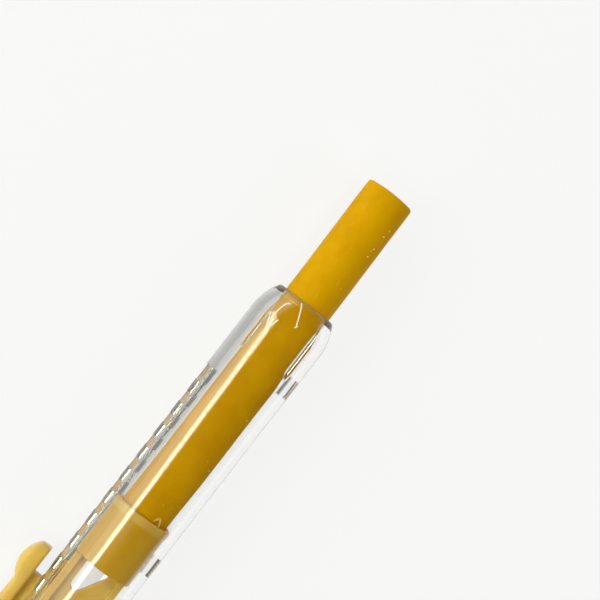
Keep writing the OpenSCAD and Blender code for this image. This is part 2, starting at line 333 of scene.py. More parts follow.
@dataclass(frozen=True)
class ClearPlastic:
    """The barrel's clear plastic: a fine haze, rubbed marks, scratches and painted highlight streaks.

    The cut walls of the slot and most of all of its notches are less smooth
    than the rest, the windows' walls carry painted shade on one side, and the rim is dusty.
    A pair of numbers says where a mask starts and where it is full.
    """

    barrel: "ClearBarrel"
    tint: Colour = (0.985, 0.985, 0.975)
    rubbed_tint: Colour = (0.95, 0.95, 0.94)
    cut_tint: Colour = (0.97, 0.95, 0.9)
    # painted shade: a dark brown tint for one side of the windows' walls
    window_painted_shade: Colour = (0.3, 0.23, 0.12)
    shadow_tint: Colour = (0.96, 0.96, 0.95)
    dust: Colour = (0.33, 0.22, 0.06)
    dust_share: float = 0.36
    # pale colour shared by painted highlight streaks and a scratch
    scratch_glint: Colour = (1.0, 0.94, 0.78)
    scratch_glint_share: float = 0.9
    ior: float = 1.59
    calm_roughness: float = 0.02
    rubbed_roughness: float = 0.1
    rim_roughness: float = 0.1
    cut_roughness: float = 0.14
    notch_roughness: float = 0.75
    notch_margin: float = 0.15
    window_margin: float = 0.06
    soft_edge: float = 0.04
    rim_fade: Point = (0.8, 0.3)
    cut_fade: float = 0.12
    cut_end: float = 0.3
    cut_heights: Point = (3.8, 4.1)
    notch_fade: Point = (0.3, 0.15)
    window_heights: Point = (-4.2, -4.1)
    window_side: Point = (0.2, 0.3)

    def slot_walls(self, tree: Shader, along: Signal, aside: Signal, above: Signal) -> tuple[Signal, Signal]:
        """Masks of the slot's cut walls.

        Args:
            tree: The material's tree.
            along: Place along the stick.
            aside: Distance from the middle plane.
            above: Height over the axis.

        Returns:
            The mask of all cut walls, and of those deep in the notches.
        """
        barrel = self.barrel
        front = barrel.sizes.behind_mouth(barrel.slot_front)
        half = barrel.slot_w / 2 + barrel.notch_depth + self.notch_margin
        cut = (1 - tree.band(aside, half, half + self.cut_fade)) * tree.band(above, *self.cut_heights)
        cut = cut * (1 - tree.band(along, front, front + self.cut_end))
        return cut, cut * tree.band(aside, *(half - inset for inset in self.notch_fade))

    def painted_window_shade(self, tree: Shader, along: Signal, across: Signal, above: Signal) -> Signal:
        """Mask of the painted shade on the windows' walls, on the side away from the camera.

        Args:
            tree: The material's tree.
            along: Place along the stick.
            across: Place across the middle plane.
            above: Height over the axis.

        Returns:
            The mask.
        """
        barrel, edge, soft = self.barrel, self.window_margin, self.soft_edge
        behind = (barrel.sizes.behind_mouth(barrel.window_front) - along) % barrel.window_step
        half = barrel.window_w / 2 + edge
        hole = tree.within(behind, -edge, barrel.window_len + edge, soft)
        hole = hole * (1 - tree.band(abs(across), half - soft, half))
        return hole * (1 - tree.band(above, *self.window_heights)) * tree.band(across, *self.window_side)

    def material(self) -> Finish:
        """Builds the barrel's material.

        Returns:
            The material.
        """
        material, tree = new_material("clear_plastic")
        sizes = self.barrel.sizes
        plain = tree.place(sizes.lying_deg)
        drawn = tree.place(sizes.lying_deg, (0.05, 1.0, 1.0))
        haze = tree.band(tree.noise(drawn, 3.0, 3.0), 0.64, 0.72)
        marks = haze * 0.5 | tree.band(tree.noise(plain, 0.35, 4.0, 0.6), 0.52, 0.72)
        along, across, above = (tree.part(plain, axis) for axis in "XYZ")
        rim = tree.band(along, *(sizes.behind_mouth(distance) for distance in self.rim_fade))
        cut, notch = self.slot_walls(tree, along, abs(across), above)
        rough = marks * (self.rubbed_roughness - self.calm_roughness) + self.calm_roughness
        rough = rough | rim * self.rim_roughness | cut * self.cut_roughness | notch * self.notch_roughness
        tint = tree.blend(cut, tree.blend(marks, self.tint, self.rubbed_tint), self.cut_tint)
        # painted shade on the windows' walls, standing in for their dark edges
        tint = tree.blend(self.painted_window_shade(tree, along, across, above), tint, self.window_painted_shade)
        relief = tree.noise(plain, 0.18, 1.0) * 0.8 + haze * 0.02
        shader = tree.node("BsdfPrincipled", {
            "Base Color": tint, "Roughness": rough, "IOR": self.ior, "Transmission Weight": 1.0,
            "Normal": tree.bump(relief, 0.05, 0.35)})
        dust = tree.node("BsdfPrincipled", {"Base Color": rgba(self.dust), "Roughness": 0.6})
        shader = tree.cover(rim * self.dust_share, shader, dust)
        # painted highlight: pale streaks near the nose, along with a scratch
        scratch_glint = tree.node("BsdfPrincipled", {"Base Color": rgba(self.scratch_glint), "Roughness": 0.4})
        lines, *others = [tree.line(plain, streak) for streak in self.barrel.scratch_glints()]
        for other in others:
            lines = lines | other
        shader = tree.cover(lines * self.scratch_glint_share, shader, scratch_glint)
        passing = tree.node("BsdfTransparent", {"Color": rgba(self.shadow_tint)})
        tree.surface(tree.cover(tree.node("LightPath", output="Is Shadow Ray"), shader, passing))
        return material


@dataclass(frozen=True)
class FrostedPlastic:
    """Amber plastic that lets light sink in, with a fine mould grain.

    Between backed_from and backed_to along X the refill shines through.
    """

    lying_deg: float
    backed_from: float
    backed_to: float
    deep: Colour = (0.70, 0.45, 0.07)
    pale: Colour = (0.76, 0.53, 0.125)
    backed: Colour = (0.66, 0.37, 0.010)
    backed_pale: Colour = (0.69, 0.41, 0.025)
    roughness: float = 0.34

    def material(self) -> Finish:
        """Builds the material of the slide and of the tail plug.

        Returns:
            The material.
        """
        material, tree = new_material("frosted_amber")
        plain = tree.place(self.lying_deg)
        flow = tree.noise(tree.place(self.lying_deg, (0.3, 1, 1)), 0.35, 2.0)
        streaks = tree.band(flow, 0.3, 0.7)
        over_refill = tree.within(tree.part(plain, "X"), self.backed_from, self.backed_to, 0.5)
        colour = tree.blend(over_refill, tree.blend(streaks, self.deep, self.pale),
                            tree.blend(streaks, self.backed, self.backed_pale))
        rubbed = tree.band(tree.noise(plain, 0.8, 3.0), 0.5, 0.75)
        tree.surface(tree.node("BsdfPrincipled", {
            "Base Color": colour, "Roughness": rubbed * 0.12 + self.roughness, "IOR": 1.49,
            "Subsurface Weight": 0.85, "Subsurface Radius": (1.0, 0.55, 0.12),
            "Subsurface Scale": 1.1 * MM,
            "Normal": tree.bump(tree.noise(plain, 9.0, 2.0), 0.012, 0.6),
        }, {"subsurface_method": "RANDOM_WALK"}))
        return material


@dataclass(frozen=True)
class EraserVinyl:
    """Soft amber eraser: matt, a little dusty, with tiny pores and pale smears."""

    lying_deg: float
    body: Colour = (0.668, 0.346, 0.0005)
    deep: Colour = (0.618, 0.304, 0.0005)
    dusty: Colour = (0.78, 0.49, 0.07)
    roughness: float = 0.55

    def material(self) -> Finish:
        """Builds the refill's material.

        Returns:
            The material.
        """
        material, tree = new_material("eraser_vinyl")
        plain = tree.place(self.lying_deg)
        cloud = tree.band(tree.noise(plain, 0.25, 3.0), 0.35, 0.7)
        drawn = tree.noise(tree.place(self.lying_deg, (0.25, 1, 1)), 1.6, 4.0, 0.62)
        smears = tree.band(drawn, 0.62, 0.74)
        pores = tree.band(tree.noise(plain, 5.0, 2.0), 0.66, 0.78)
        colour = tree.blend(smears * 0.3, tree.blend(cloud, self.body, self.deep), self.dusty)
        relief = tree.noise(plain, 2.2, 4.0, 0.6) - pores * 0.5
        tree.surface(tree.node("BsdfPrincipled", {
            "Base Color": colour, "Roughness": smears * 0.15 + self.roughness, "IOR": 1.45,
            "Specular IOR Level": 0.05,
            "Subsurface Weight": 0.15, "Subsurface Radius": (1.0, 0.4, 0.05),
            "Subsurface Scale": 0.8 * MM,
            "Normal": tree.bump(relief, 0.03, 0.5),
        }, {"subsurface_method": "RANDOM_WALK"}))
        return material


@dataclass(frozen=True)
class CrumbVinyl:
    """Rubbed-off eraser: the same stuff, paler and rougher."""

    pale: Colour = (0.86, 0.60, 0.16)
    body: Colour = (0.74, 0.42, 0.03)

    def material(self) -> Finish:
        """Builds the crumbs' material.

        Returns:
            The material.
        """
        material, tree = new_material("crumb_vinyl")
        speckle = tree.noise(tree.place(), 4.0, 3.0)
        tree.surface(tree.node("BsdfPrincipled", {
            "Base Color": tree.blend(speckle, self.body, self.pale),
            "Roughness": speckle * 0.2 + 0.6,
            "Normal": tree.bump(speckle, 0.03, 0.6)}))
        return material


def new_mesh(name: str, shape: Form, material: Finish) -> bpy.types.Mesh:
    """Turns a shape into a mesh with one material.

    Args:
        name: The mesh's name.
        shape: What it is made of. It is freed.
        material: Its finish.

    Returns:
        The mesh.
    """
    mesh = bpy.data.meshes.new(name)
    shape.to_mesh(mesh)
    shape.free()
    mesh.materials.append(material)
    return mesh


def new_object(name: str, data: bpy.types.ID) -> Thing:
    """Puts an object into the scene.

    Args:
        name: The object's name.
        data: Its mesh, camera or light.

    Returns:
        The object.
    """
    thing = bpy.data.objects.new(name, data)
    bpy.context.scene.collection.objects.link(thing)
    return thing


def bevel_edges(thing: Thing, width: float, segments: int, least_deg: float) -> None:
    """Adds a bevel to an object's sharp edges.

    Args:
        thing: The object.
        width: Width of the bevel.
        segments: Faces across it.
        least_deg: The least angle of an edge that gets it.
    """
    bevel = thing.modifiers.new("edges", "BEVEL")
    bevel.width, bevel.segments = width, segments
    bevel.limit_method, bevel.angle_limit = "ANGLE", math.radians(least_deg)


def apply_modifiers(thing: Thing) -> None:
    """Bakes modifiers into the mesh.

    Args:
        thing: The object that has them.
    """
    graph = bpy.context.evaluated_depsgraph_get()
    graph.update()
    mesh = bpy.data.meshes.new_from_object(thing.evaluated_get(graph))
    thing.modifiers.clear()
    thing.data = mesh


@dataclass
class Bench:
    """Where upright shapes become finished pieces of the lying stick."""

    lying_deg: float

    @property
    def lay(self) -> Matrix:
        """Turns upright millimetres into lying metres."""
        return Matrix.Rotation(-math.radians(self.lying_deg), 4, "X") @ Matrix.Scale(MM, 4)

    def piece(self, name: str, shape: Form, material: Finish, body: Body, slot: Slot,
              replaced: Iterable[str] = (), modify: Callable[[Thing], None] | None = None) -> None:
        """Makes an upright shape into a piece that rides on a body.

        Args:
            name: The piece's name.
            shape: Upright shape in millimetres. It is freed.
            material: Its finish.
            body: The body that it rides on.
            slot: The record's material slot; not used.
            replaced: CAD nodes that it stands for.
            modify: Called with the object while it is still upright and in
                millimetres, to work on its mesh.
        """
        bmesh.ops.recalc_face_normals(shape, faces=shape.faces)
        if shape.calc_volume(signed=True) < 0:
            bmesh.ops.reverse_faces(shape, faces=shape.faces)
        thing = new_object(name, new_mesh(name, shape, material))
        thing.data.shade_smooth()
        if modify:
            modify(thing)
        thing.data.transform(self.lay)
        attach(thing, body.value)
        if replaced:
            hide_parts(*replaced)
        LOG.info("%s: %d faces, rides on %s", name, len(thing.data.polygons), body.value)


def arc_points(centre: Point, radius: float, start: float, end: float, steps: int) -> list[Point]:
    """Points along an arc.

    Args:
        centre: Centre of the arc.
        radius: Its radius.
        start: First angle in degrees.
        end: Last angle in degrees.
        steps: Number of steps between them.

    Returns:
        The points, both ends included.
    """
    angles = (math.radians(start + (end - start) * k / steps) for k in range(steps + 1))
    return [(centre[0] + radius * math.cos(a), centre[1] + radius * math.sin(a)) for a in angles]


def smooth_step(share: float) -> float:
    """Eases from 0 to 1 while the share goes from 0 to 1."""
    share = min(1.0, max(0.0, share))
    return share * share * (3 - 2 * share)


def lathe(shape: Form, profile: Sequence[Point], sides: int = 96) -> None:
    """Turns a closed profile about the X axis.

    Args:
        shape: Where the turned skin is added.
        profile: Points (x, radius) that run round the section. A radius of
            zero closes on the axis.
        sides: Facets round the axis.
    """
    turns = [2 * math.pi * k / sides for k in range(sides)]
    rings = []
    for x, radius in profile:
        spots = [(x, radius * math.sin(a), radius * math.cos(a)) for a in turns]
        rings.append([shape.verts.new(spot) for spot in (spots if radius > 0 else [(x, 0, 0)])])
    closing = [(rings[-1], rings[0])] if profile[0][1] > 0 else []
    for first, second in list(zip(rings, rings[1:])) + closing:
        for k in range(sides):
            corners = {first[k % len(first)]: 0, first[(k + 1) % len(first)]: 0,
                       second[(k + 1) % len(second)]: 0, second[k % len(second)]: 0}
            if len(corners) > 2:
                shape.faces.new(list(corners))


def loft(shape: Form, sections: Sequence[Sequence[Vector]]) -> None:
    """Skins a row of cross-sections and closes both ends.

    Args:
        shape: Where the skin is added.
        sections: Cross-sections with as many points each, in order.
    """
    rings = [[shape.verts.new(point) for point in section] for section in sections]
    count = len(rings[0])
    for first, second in zip(rings, rings[1:]):
        for k in range(count):
            n = (k + 1) % count
            shape.faces.new((first[k], first[n], second[n], second[k]))
    shape.faces.new(list(reversed(rings[0])))
    shape.faces.new(rings[-1])


def block(shape: Form, low: Sequence[float], high: Sequence[float]) -> None:
    """Adds a closed box between two corners."""
    for vert in bmesh.ops.create_cube(shape, size=1.0)["verts"]:
        vert.co = Vector(high[k] if vert.co[k] > 0 else low[k] for k in range(3))


def slab(shape: Form, outline: Sequence[Point], width: float) -> None:
    """Adds a plate whose outline (x, z) is run across the middle plane.

    Args:
        shape: Where the plate is added.
        outline: Corners in order.
        width: Thickness of the plate.
    """
    near, far = ([shape.verts.new((x, y, z)) for x, z in outline] for y in (-width / 2, width / 2))
    shape.faces.new(near)
    shape.faces.new(list(reversed(far)))
    count = len(outline)
    for k in range(count):
        shape.faces.new((near[k], far[k], far[(k + 1) % count], near[(k + 1) % count]))


@dataclass(frozen=True)
class Column:
    """A line of grid points along the barrel, beside a plane through the axis.

    The plane stands at an angle from the slot's middle. The line keeps its
    distance from that plane, so that the edges of an opening are straight.
    With a draft it leans outwards by that share of its height over the bore.
    The rib height is how far a guide rib stands up from the bore there.
    """

    plane: float
    offset: float = 0.0
    rib_height: float = 0.0
    draft: float = 0.0
    bore_r: float = 0.0

    def turn(self, radius: float) -> float:
        """Angle from the slot's middle in radians, at this radius."""
        offset = self.offset + math.copysign(self.draft * (radius - self.bore_r), self.offset)
        return math.radians(self.plane) + math.asin(offset / radius)


@dataclass
class ClearBarrel:
    """The clear barrel: tube, rounded nose with guide ribs, slot and windows.

    A rib's form gives its height at distances from its middle plane, and a
    rib's plane has the share of that height that it gets. A streak chain is a
    width and places (distance behind the mouth, angle from the slot).
    """

    sizes: StickSizes
    mouth_r: float = 3.55
    nose_len: float = 4.2
    nose_steps: int = 14
    rib_len: float = 9.4
    rib_ramp: float = 1.1
    ramp_steps: int = 8
    rib_form: tuple[Point, ...] = (
        (0.0, 0.42), (0.05, 0.41), (0.092, 0.382), (0.12, 0.34), (0.13, 0.3),
        (0.15, 0.17), (0.18, 0.09), (0.23, 0.03), (0.3, 0.0))
    rib_planes: tuple[Point, ...] = ((45, 0.35), (135, 1.0), (225, 1.0), (315, 0.35))
    rim_wall: float = 0.6
    rim_round: float = 0.4
    rim_steps: int = 6
    slot_front: float = 13.7
    slot_w: float = 2.0
    notch_depth: float = 0.45
    tooth_draft: float = 0.17
    notch_len: float = 1.7
    first_notch_len: float = 2.4
    click_pitch: float = 3.5
    notch_count: int = 22
    window_front: float = 8.6
    window_len: float = 2.7
    window_w: float = 1.2
    window_step: float = 28.4
    window_count: int = 4
    column_step: float = 3.75
    column_room: float = 0.6
    longest_cell: float = 2.0
    edge_round: float = 0.06
    rounded_deg: float = 32.0
    sharp_deg: float = 36.0
    # pale streaks: the first three chains are painted highlight branches, the last two a scratch
    scratch_glint_chains: tuple[tuple[Any, ...], ...] = (
        (0.12, (5.6, 64.0), (4.65, 59.8), (3.6, 55.2)),
        (0.13, (5.6, 64.0), (3.9, 70.6)),
        (0.12, (4.3, 61.0), (3.1, 61.3), (1.95, 62.7), (1.45, 64.8), (1.34, 68.6)),
        (0.13, (3.23, 95.6), (1.8, 89.6), (0.7, 83.6), (0.45, 80.6)),
        (0.1, (3.4, 94.2), (3.0, 97.0)))
    notch_spans: list[Point] = field(init=False)
    window_spans: list[Point] = field(init=False)

    def __post_init__(self) -> None:
        """Works out where the notches and windows lie along X."""
        place = self.sizes.behind_mouth
        self.notch_spans = []
        for k in range(self.notch_count):
            back = self.slot_front + self.first_notch_len + k * self.click_pitch
            length = self.first_notch_len if k == 0 else self.notch_len
            self.notch_spans.append((place(back), place(back - length)))
        fronts = [self.window_front + k * self.window_step for k in range(self.window_count)]
        self.window_spans = [(place(front + self.window_len), place(front)) for front in fronts]

    def on_skin(self, behind: float, angle: float) -> Vector:
        """A place on the outer skin.

        Args:
            behind: Distance behind the mouth.
            angle: Turn from the slot towards the side that faces the camera.

        Returns:
            The place in the upright position.
        """
        (centre_x, centre_r), nose_r = self.nose_arc()
        x, radius, turn = self.sizes.behind_mouth(behind), self.sizes.barrel_r, math.radians(angle)
        if x > centre_x:
            radius = centre_r + math.sqrt(nose_r ** 2 - (x - centre_x) ** 2)
        return Vector((x, -radius * math.sin(turn), radius * math.cos(turn)))

    def scratch_glints(self) -> list[ScratchGlint]:
        """The pale streaks near the nose: painted highlight branches and a scratch.

        Returns:
            Each chain's short straight streaks, end to end.
        """
        made = []
        for width, *chain in self.scratch_glint_chains:
            places = [self.on_skin(behind, angle) for behind, angle in chain]
            made += [ScratchGlint(start, end, width) for start, end in zip(places, places[1:])]
        return made

    def nose_arc(self) -> tuple[Point, float]:
        """The nose's long outer arc.

        Returns:
            Its centre (x, radius) and its own radius.
        """
        drop = self.sizes.barrel_r - (self.mouth_r + self.rim_wall)
        nose_r = (self.nose_len ** 2 + drop ** 2) / (2 * drop)
        return (self.sizes.behind_mouth(self.nose_len), self.sizes.barrel_r - nose_r), nose_r

    def inner_r(self, x: float, column: Column) -> float:
        """Radius of the bore: even wall, mouth and guide ribs.

        Args:
            x: Place along the stick.
            column: Grid line that is asked about.

        Returns:
            The radius there.
        """
        (centre_x, centre_r), nose_r = self.nose_arc()
        wall = self.sizes.barrel_r - self.sizes.bore_r
        radius = self.sizes.bore_r
        if x > centre_x:
            radius = max(self.mouth_r, centre_r + math.sqrt((nose_r - wall) ** 2 - (x - centre_x) ** 2))
        risen = smooth_step((x - self.sizes.behind_mouth(self.rib_len)) / self.rib_ramp)
        return min(radius, self.sizes.bore_r - column.rib_height * risen)

    def columns(self) -> list[Column]:
        """Grid lines round the barrel: edges of openings, ribs, and even steps between.

        Returns:
            The lines from the slot's middle once round.
        """
        slot, window = self.slot_w / 2, self.window_w / 2
        lines = []
        for side in (1, -1):
            lines += [Column(0, side * slot, 0.0, self.tooth_draft, self.sizes.bore_r),
                      Column(0, side * (slot + self.notch_depth)), Column(180, side * window)]
        for plane, share in self.rib_planes:
            lines += [Column(plane, offset, height * share) for offset, height in self.rib_form]
            lines += [Column(plane, -offset, height * share) for offset, height in self.rib_form[1:]]
        taken = [line.turn(self.sizes.bore_r) % (2 * math.pi) for line in lines]
        for k in range(round(360 / self.column_step)):
            turn = math.radians(k * self.column_step)
            gap = min(abs((turn - other + math.pi) % (2 * math.pi) - math.pi) for other in taken)
            if gap > math.radians(self.column_step) * self.column_room:
                lines.append(Column(k * self.column_step))
        return sorted(lines, key=lambda line: line.turn(self.sizes.barrel_r) % (2 * math.pi))

    def stations(self) -> list[float]:
        """Grid lines across the barrel, from the flange to the nose.

        Returns:
            Their places along X.
        """
        place = self.sizes.behind_mouth
        marks = {self.sizes.flange, place(self.nose_len), place(self.slot_front)}
        marks.update(place(self.rib_len) + self.rib_ramp * k / self.ramp_steps
                     for k in range(self.ramp_steps + 1))
        for span in self.notch_spans + self.window_spans:
            marks.update(span)
        marks = sorted({round(mark, 4) for mark in marks})
        filled: list[float] = []
        for low, high in zip(marks, marks[1:]):
            cells = max(1, math.ceil((high - low) / self.longest_cell))
            filled += [low + (high - low) * k / cells for k in range(cells)]
        return filled + [marks[-1]]

    def beside(self, first: Column, second: Column, plane: float) -> float:
        """How far two grid lines reach out from the middle plane of an opening.

        Args:
            first: One grid line.
            second: The next one.
            plane: Angle of the opening's middle from the slot's middle.

        Returns:
            The larger distance on the bore's skin, endless on the far side.
        """
        turns = [line.turn(self.sizes.bore_r) - math.radians(plane) for line in (first, second)]
        if min(math.cos(turn) for turn in turns) <= 0:
            return math.inf
        return max(abs(self.sizes.bore_r * math.sin(turn)) for turn in turns)

    def is_open(self, low: float, high: float, first: Column, second: Column) -> bool:
        """Whether the wall is cut away in one cell of the grid.

        Args:
            low: The cell's rear station.
            high: Its front station.
            first: One grid line beside it.
            second: The next one.

        Returns:
            True in the slot, its notches and the windows.
        """
        middle, hair = (low + high) / 2, 1e-6
        from_slot = self.beside(first, second, 0) - hair
        if from_slot < self.slot_w / 2:
            return middle < self.sizes.behind_mouth(self.slot_front)
        if from_slot < self.slot_w / 2 + self.notch_depth:
            return any(a < middle < b for a, b in self.notch_spans)
        in_window = self.beside(first, second, 180) - hair < self.window_w / 2
        return in_window and any(a < middle < b for a, b in self.window_spans)

    def nose_profiles(self) -> tuple[list[Point], list[float]]:
        """The nose's grid lines.

        Returns:
            Outer points (x, radius) from the straight tube to the mouth, and
            the places along X of as many inner points.
        """
        centre, nose_r = self.nose_arc()
        rim_x = self.sizes.mouth - self.rim_round
        rim_r = centre[1] + math.sqrt((nose_r - self.rim_round) ** 2 - (rim_x - centre[0]) ** 2)
        meet = math.degrees(math.atan2(rim_r - centre[1], rim_x - centre[0]))
        long_arc = arc_points(centre, nose_r, 90, meet, self.nose_steps)[1:]
        short_arc = arc_points((rim_x, rim_r), self.rim_round, meet, 0, self.rim_steps)[1:]
        wall = self.sizes.barrel_r - self.sizes.bore_r
        lip = math.sqrt((nose_r - wall) ** 2 - (self.mouth_r - centre[1]) ** 2)
        inner = [centre[0] + lip * (k + 1) / self.nose_steps for k in range(self.nose_steps)]
        rest = self.sizes.mouth - inner[-1]
        inner += [inner[-1] + rest * (k + 1) / self.rim_steps for k in range(self.rim_steps)]
        return long_arc + short_arc, inner

    def shape(self) -> Form:
        """Builds the wall as one closed grid of outer, inner and edge faces.

        Returns:
            The upright shape.
        """
        shape = bmesh.new()
        stations, columns = self.stations(), self.columns()
        nose, nose_bore = self.nose_profiles()
        outer = [[(x, self.sizes.barrel_r)] * len(columns) for x in stations]
        outer += [[point] * len(columns) for point in nose]
        inner = [[(x, self.inner_r(x, column)) for column in columns] for x in stations + nose_bore]
        outside, inside = ([[
            shape.verts.new((x, r * math.sin(c.turn(r)), r * math.cos(c.turn(r))))
            for c, (x, r) in zip(columns, row)] for row in skin] for skin in (outer, inner))
        rows, cols = len(outer) - 1, len(columns)
        solid = [[
            not (i < len(stations) - 1
                 and self.is_open(stations[i], stations[i + 1], columns[j], columns[(j + 1) % cols]))
            for j in range(cols)] for i in range(rows)]
        for i in range(rows):
            for j in range(cols):
                if not solid[i][j]:
                    continue
                k = (j + 1) % cols
                for skin in (outside, inside):
                    shape.faces.new((skin[i][j], skin[i][k], skin[i + 1][k], skin[i + 1][j]))
                edges = (((i, k), (i + 1, k), solid[i][k]),
                         ((i, j), (i + 1, j), solid[i][j - 1]),
                         ((i, j), (i, k), i > 0 and solid[i - 1][j]),
                         ((i + 1, j), (i + 1, k), i < rows - 1 and solid[i + 1][j]))
                for (a, b), (c, d), goes_on in edges:
                    if not goes_on:
                        shape.faces.new((outside[a][b], outside[c][d], inside[c][d], inside[a][b]))
        loose = [vert for vert in shape.verts if not vert.link_faces]
        bmesh.ops.delete(shape, geom=loose, context="VERTS")
        return shape

    def soften(self, thing: Thing) -> None:
        """Takes the wall's sharp edges off a little, as a mould leaves them.

        Args:
            thing: The upright object, in millimetres.
        """
        bevel_edges(thing, self.edge_round, 1, self.rounded_deg)
        apply_modifiers(thing)
        thing.data.set_sharp_from_angle(angle=math.radians(self.sharp_deg))

    def build(self, bench: Bench, material: Finish) -> None:
        """Makes the barrel's piece."""
        bench.piece("clear_barrel", self.shape(), material, Body.BARREL, Slot.CLEAR,
                    ["barrel"], self.soften)


@dataclass(kw_only=True)
class MouldedPart:
    """Overlapping closed forms, melted into one moulding with soft corners."""

    sizes: StickSizes
    shape: Form = field(default_factory=bmesh.new)
    voxel: float = 0.09
    smoothing: int = 5
    kept_share: float = 0.45

    def melt(self, thing: Thing) -> None:
        """Joins the forms into one skin and rounds its corners.

        Args:
            thing: The upright object, in millimetres.
        """
        remesh = thing.modifiers.new("one_skin", "REMESH")
        remesh.mode, remesh.voxel_size, remesh.use_smooth_shade = "VOXEL", self.voxel, True
        soften = thing.modifiers.new("soft_corners", "SMOOTH")
        soften.factor, soften.iterations = 0.5, self.smoothing
        thing.modifiers.new("fewer_faces", "DECIMATE").ratio = self.kept_share
        apply_modifiers(thing)
        thing.data.shade_smooth()


@dataclass(kw_only=True)
class ThumbSlide(MouldedPart):
    """The slide: sleeve, rail, web and guide disc, neck, clip and thumb lobe."""

    sleeve_back: float = 42.1
    sleeve_floor: float = 0.6
    sleeve_len: float = 8.6
    sleeve_bore_r: float = 3.45
    sleeve_corner: float = 0.15
    flare_r: float = 0.2
    flare_len: float = 0.25
    lip_height: float = 0.1
    lip_len: float = 0.9
    lip_ramp: float = 0.3
    slide_back: float = 59.1
    disc_t: float = 1.6
    disc_edge: float = 0.3
    rail_w: float = 3.3
    rail_top: float = 3.69
    rail_t: float = 0.9
    rail_overlap: float = 0.2
    web_t: float = 1.8
    web_into_disc: float = 0.5
    web_into_sleeve: float = 0.3
    runner_w: float = 3.0
    runner_low: float = -3.44
    runner_t: float = 0.8
    window_len: float = 4.6
    window_r: float = 0.75
    window_drop: float = 1.85
    window_top: float = 2.0
    neck_front: float = 47.8
    neck_len: float = 8.0
    neck_w: float = 1.8
    neck_into_rail: float = 0.3
    bar_w: float = 4.0
    bar_t: float = 1.75
    bar_len: float = 24.0
    bar_steps: int = 16
    pad_low: float = 5.8
    pad_back: float = 3.3
    pad_r: float = 2.6
    pad_arc: tuple[float, float, int] = (200, 340, 14)
    pad_least: float = 0.05
    pad_inset: float = 0.1
    lobe_w: float = 4.6
    lobe_h: float = 2.7
    lobe_reach: float = 3.65
    lobe_dome_r: float = 3.75
    lobe_steps: int = 26
    lobe_foot: float = 0.6
    lobe_start: float = 0.04
    lobe_least_half: float = 0.3
    lobe_least_h: float = 0.5
    lobe_fullness: float = 3.4
    top_fullness: float = 3.1
    under_fullness: float = 6.0
    section_points: int = 40

    @property
    def lip_back(self) -> float:
        """X of the rear edge of the sleeve's lip."""
        return self.sizes.behind_mouth(self.sleeve_back - self.sleeve_len + self.lip_len)

    def sleeve(self) -> None:
        """The cup that grips the refill, with its flared lip."""
        place, outer, corner = self.sizes.behind_mouth, self.sizes.sleeve_r, self.sleeve_corner
        back, front = place(self.sleeve_back), place(self.sleeve_back - self.sleeve_len)
        lip = outer + self.lip_height
        lathe(self.shape, [
            (back, 0), (back, outer - corner), (back + corner, outer),
            (front - self.lip_len - self.lip_ramp, outer), (front - self.lip_len, lip),
            (front - corner, lip), (front, lip - corner),
            (front, self.sleeve_bore_r + self.flare_r), (front - self.flare_len, self.sleeve_bore_r),
            (back + self.sleeve_floor, self.sleeve_bore_r), (back + self.sleeve_floor, 0)])

    def disc(self) -> None:
        """The guide disc at the rear end."""
        back, outer, edge = self.sizes.behind_mouth(self.slide_back), self.sizes.sleeve_r, self.disc_edge
        lathe(self.shape, [(back, 0), (back, outer - edge), (back + edge, outer),
                           (back + self.disc_t - edge, outer), (back + self.disc_t, outer - edge),
                           (back + self.disc_t, 0)])

    def web(self) -> None:
        """Web with its see-through window, the rail over it, the runner below."""
        place = self.sizes.behind_mouth
        back = place(self.slide_back - self.web_into_disc)
        front = place(self.sleeve_back - self.web_into_sleeve)
        rail_low, top = self.rail_top - self.rail_t, self.window_top
        web_top = rail_low + self.rail_overlap
        open_front = place(self.sleeve_back)
        centre = (open_front - self.window_len + self.window_r, top - self.window_r)
        dx, dz = open_front - centre[0], centre[1] + self.window_drop
        slope = math.degrees(math.atan2(dz, dx) - math.asin(self.window_r / math.hypot(dx, dz)))
        round_end = arc_points(centre, self.window_r, 90, 270 - slope, 12)
        outline = [(back, self.runner_low), (front, self.runner_low), (front, -self.window_drop),
                   (open_front, -self.window_drop)]
        outline += list(reversed(round_end))
        outline += [(open_front, top), (front, top), (front, web_top), (back, web_top)]
        slab(self.shape, outline, self.web_t)
        block(self.shape, (back, -self.rail_w / 2, rail_low), (front, self.rail_w / 2, self.rail_top))
        block(self.shape, (back, -self.runner_w / 2, self.runner_low),
              (front, self.runner_w / 2, self.runner_low + self.runner_t))

    def neck(self) -> None:
        """The plate that carries the clip through the slot."""
        front = self.sizes.behind_mouth(self.neck_front)
        block(self.shape,
              (front - self.neck_len, -self.neck_w / 2, self.rail_top - self.neck_into_rail),
              (front, self.neck_w / 2, self.sizes.clip_under + self.bar_t / 2))

    def clip_section(self, x: float, half: float, low: float, high: float) -> list[Vector]:
        """One cross-section of the clip: flat below, rounded on top.

        Args:
            x: Place along the stick.
            half: Half of its width.
            low: Height of its underside.
            high: Height of its top.

        Returns:
            Its points in order.
        """
        middle, height = (low + high) / 2, (high - low) / 2
        points = []
        for k in range(self.section_points):
            turn = 2 * math.pi * k / self.section_points
            c, s = math.cos(turn), math.sin(turn)
            power = 2 / (self.top_fullness if s > 0 else self.under_fullness)
            points.append(Vector((
                x, half * math.copysign(abs(c) ** power, c),
                middle + height * math.copysign(abs(s) ** power, s))))
        return points

